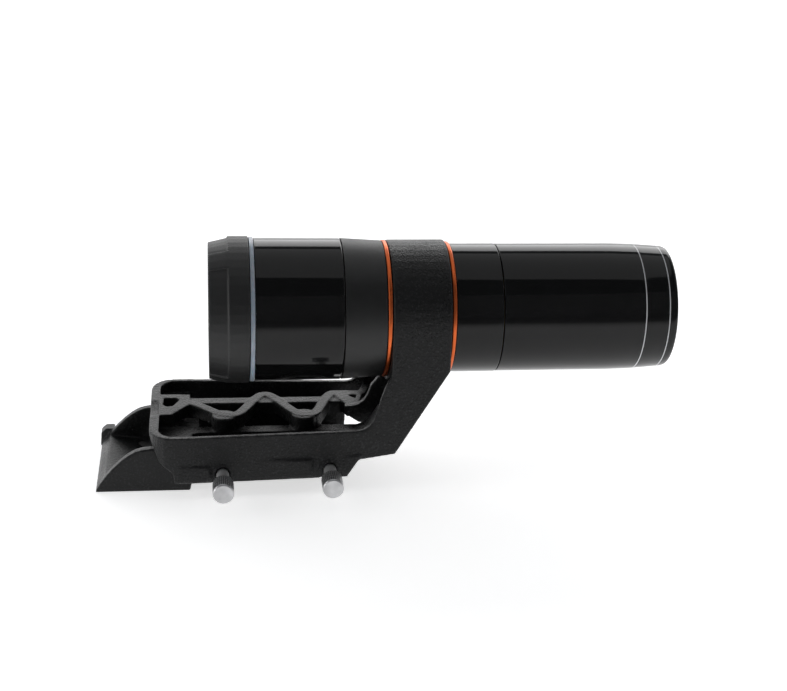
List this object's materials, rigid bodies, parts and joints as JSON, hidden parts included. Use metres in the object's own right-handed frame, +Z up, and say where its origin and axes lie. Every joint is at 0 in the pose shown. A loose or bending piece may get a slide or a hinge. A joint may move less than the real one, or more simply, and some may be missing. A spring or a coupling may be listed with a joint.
{
  "type": "finder scope",
  "caption": "Guide scope: gloss black tube with orange accent rings and a rear camera, in a cast ring bracket with an open ribbed frame clamped by knurled thumbscrews on a dovetail shoe.",
  "frame": {"origin": "on the flat underside of the dovetail shoe, on its middle plane, below the tube's rear face", "axes": "+X along the tube towards the objective, +Y away from the clamp screws, +Z up from the shoe to the tube"},
  "size_m": [0.2656, 0.0911, 0.1121],
  "materials": {
    "cast_black": "black powder-coated casting",
    "gloss_black": "high-gloss black coat",
    "satin_black": "satin black coat",
    "matte_black": "fine-textured black",
    "orange_anodised": "orange anodised, turned",
    "pale_ring": "pale translucent blue-grey",
    "steel": "bright turned steel",
    "brass": "turned brass",
    "coated_glass": "multi-coated glass",
    "board_green": "green solder mask",
    "chip_black": "moulded black",
    "bare_aluminium": "bare milled",
    "nylon": "natural white",
    "rubber": "black rubber"
  },
  "bodies": {
    "shoe": {"mounting_shoe": "cast_black", "shoe_screw_rear": "steel", "shoe_screw_front": "steel"},
    "bracket": {"bracket_casting": "cast_black", "thread_bush_rear": "brass", "thread_bush_front": "brass", "rear_cap": "matte_black", "connector_plate": "matte_black", "cap_screw_1": "steel", "cap_screw_2": "steel", "cap_screw_3": "steel", "cap_screw_4": "steel", "guide_port": "chip_black", "hand_control_port": "chip_black", "usb_port": "steel", "light_ring": "pale_ring", "camera_housing": "gloss_black", "adaptor_cone": "satin_black", "accent_ring_rear": "orange_anodised", "accent_ring_front": "orange_anodised", "front_barrel": "gloss_black", "main_tube": "satin_black", "focus_sleeve": "brass", "sleeve_baffle": "satin_black", "tube_baffle": "satin_black", "sensor_board": "board_green", "image_sensor": "chip_black", "sensor_window": "coated_glass", "processor_board": "board_green", "processor_chip": "chip_black", "heat_spreader": "bare_aluminium", "board_standoff_1": "brass", "board_standoff_2": "brass", "board_standoff_3": "brass", "board_standoff_4": "brass", "ribbon_cable": "nylon", "cap_gasket": "rubber"},
    "pad_rear": {"screw_pad_rear": "nylon"},
    "knob_rear": {"thumbscrew_rear": "steel"},
    "pad_front": {"screw_pad_front": "nylon"},
    "knob_front": {"thumbscrew_front": "steel"},
    "hood": {"lens_hood": "gloss_black"},
    "objective": {"lens_cell": "satin_black", "rear_lens": "coated_glass", "front_lens": "coated_glass", "lens_retainer": "satin_black"}
  },
  "joints": [
    {"name": "bracket_slide", "type": "slide", "parent": "shoe", "child": "bracket", "axis": [1, 0, 0], "range_m": [0, 0.09]},
    {"name": "pad_travel_rear", "type": "slide", "parent": "bracket", "child": "pad_rear", "axis": [0, -1, 0], "range_m": [0, 0.0024]},
    {"name": "thumbscrew_turn_rear", "type": "hinge", "parent": "pad_rear", "child": "knob_rear", "pos_m": [0.0056, -0.03528, 0.0114], "axis": [0, -1, 0], "range_deg": [0, 1082]},
    {"name": "pad_travel_front", "type": "slide", "parent": "bracket", "child": "pad_front", "axis": [0, -1, 0], "range_m": [0, 0.0024]},
    {"name": "thumbscrew_turn_front", "type": "hinge", "parent": "pad_front", "child": "knob_front", "pos_m": [0.0544, -0.03255, 0.0114], "axis": [0, -1, 0], "range_deg": [0, 1082]},
    {"name": "focus_turn", "type": "hinge", "parent": "bracket", "child": "hood", "pos_m": [0.17, 0, 0.0785], "axis": [1, 0, 0], "range_deg": [-150, 150]},
    {"name": "objective_travel", "type": "slide", "parent": "bracket", "child": "objective", "axis": [1, 0, 0], "range_m": [-0.00208, 0.00208]}
  ],
  "couplings": [
    {"joint": "thumbscrew_turn_rear", "follows": "pad_travel_rear", "rad_per_m": 7854},
    {"joint": "thumbscrew_turn_front", "follows": "pad_travel_front", "rad_per_m": 7854},
    {"joint": "focus_turn", "follows": "objective_travel", "rad_per_m": 1256.6}
  ]
}
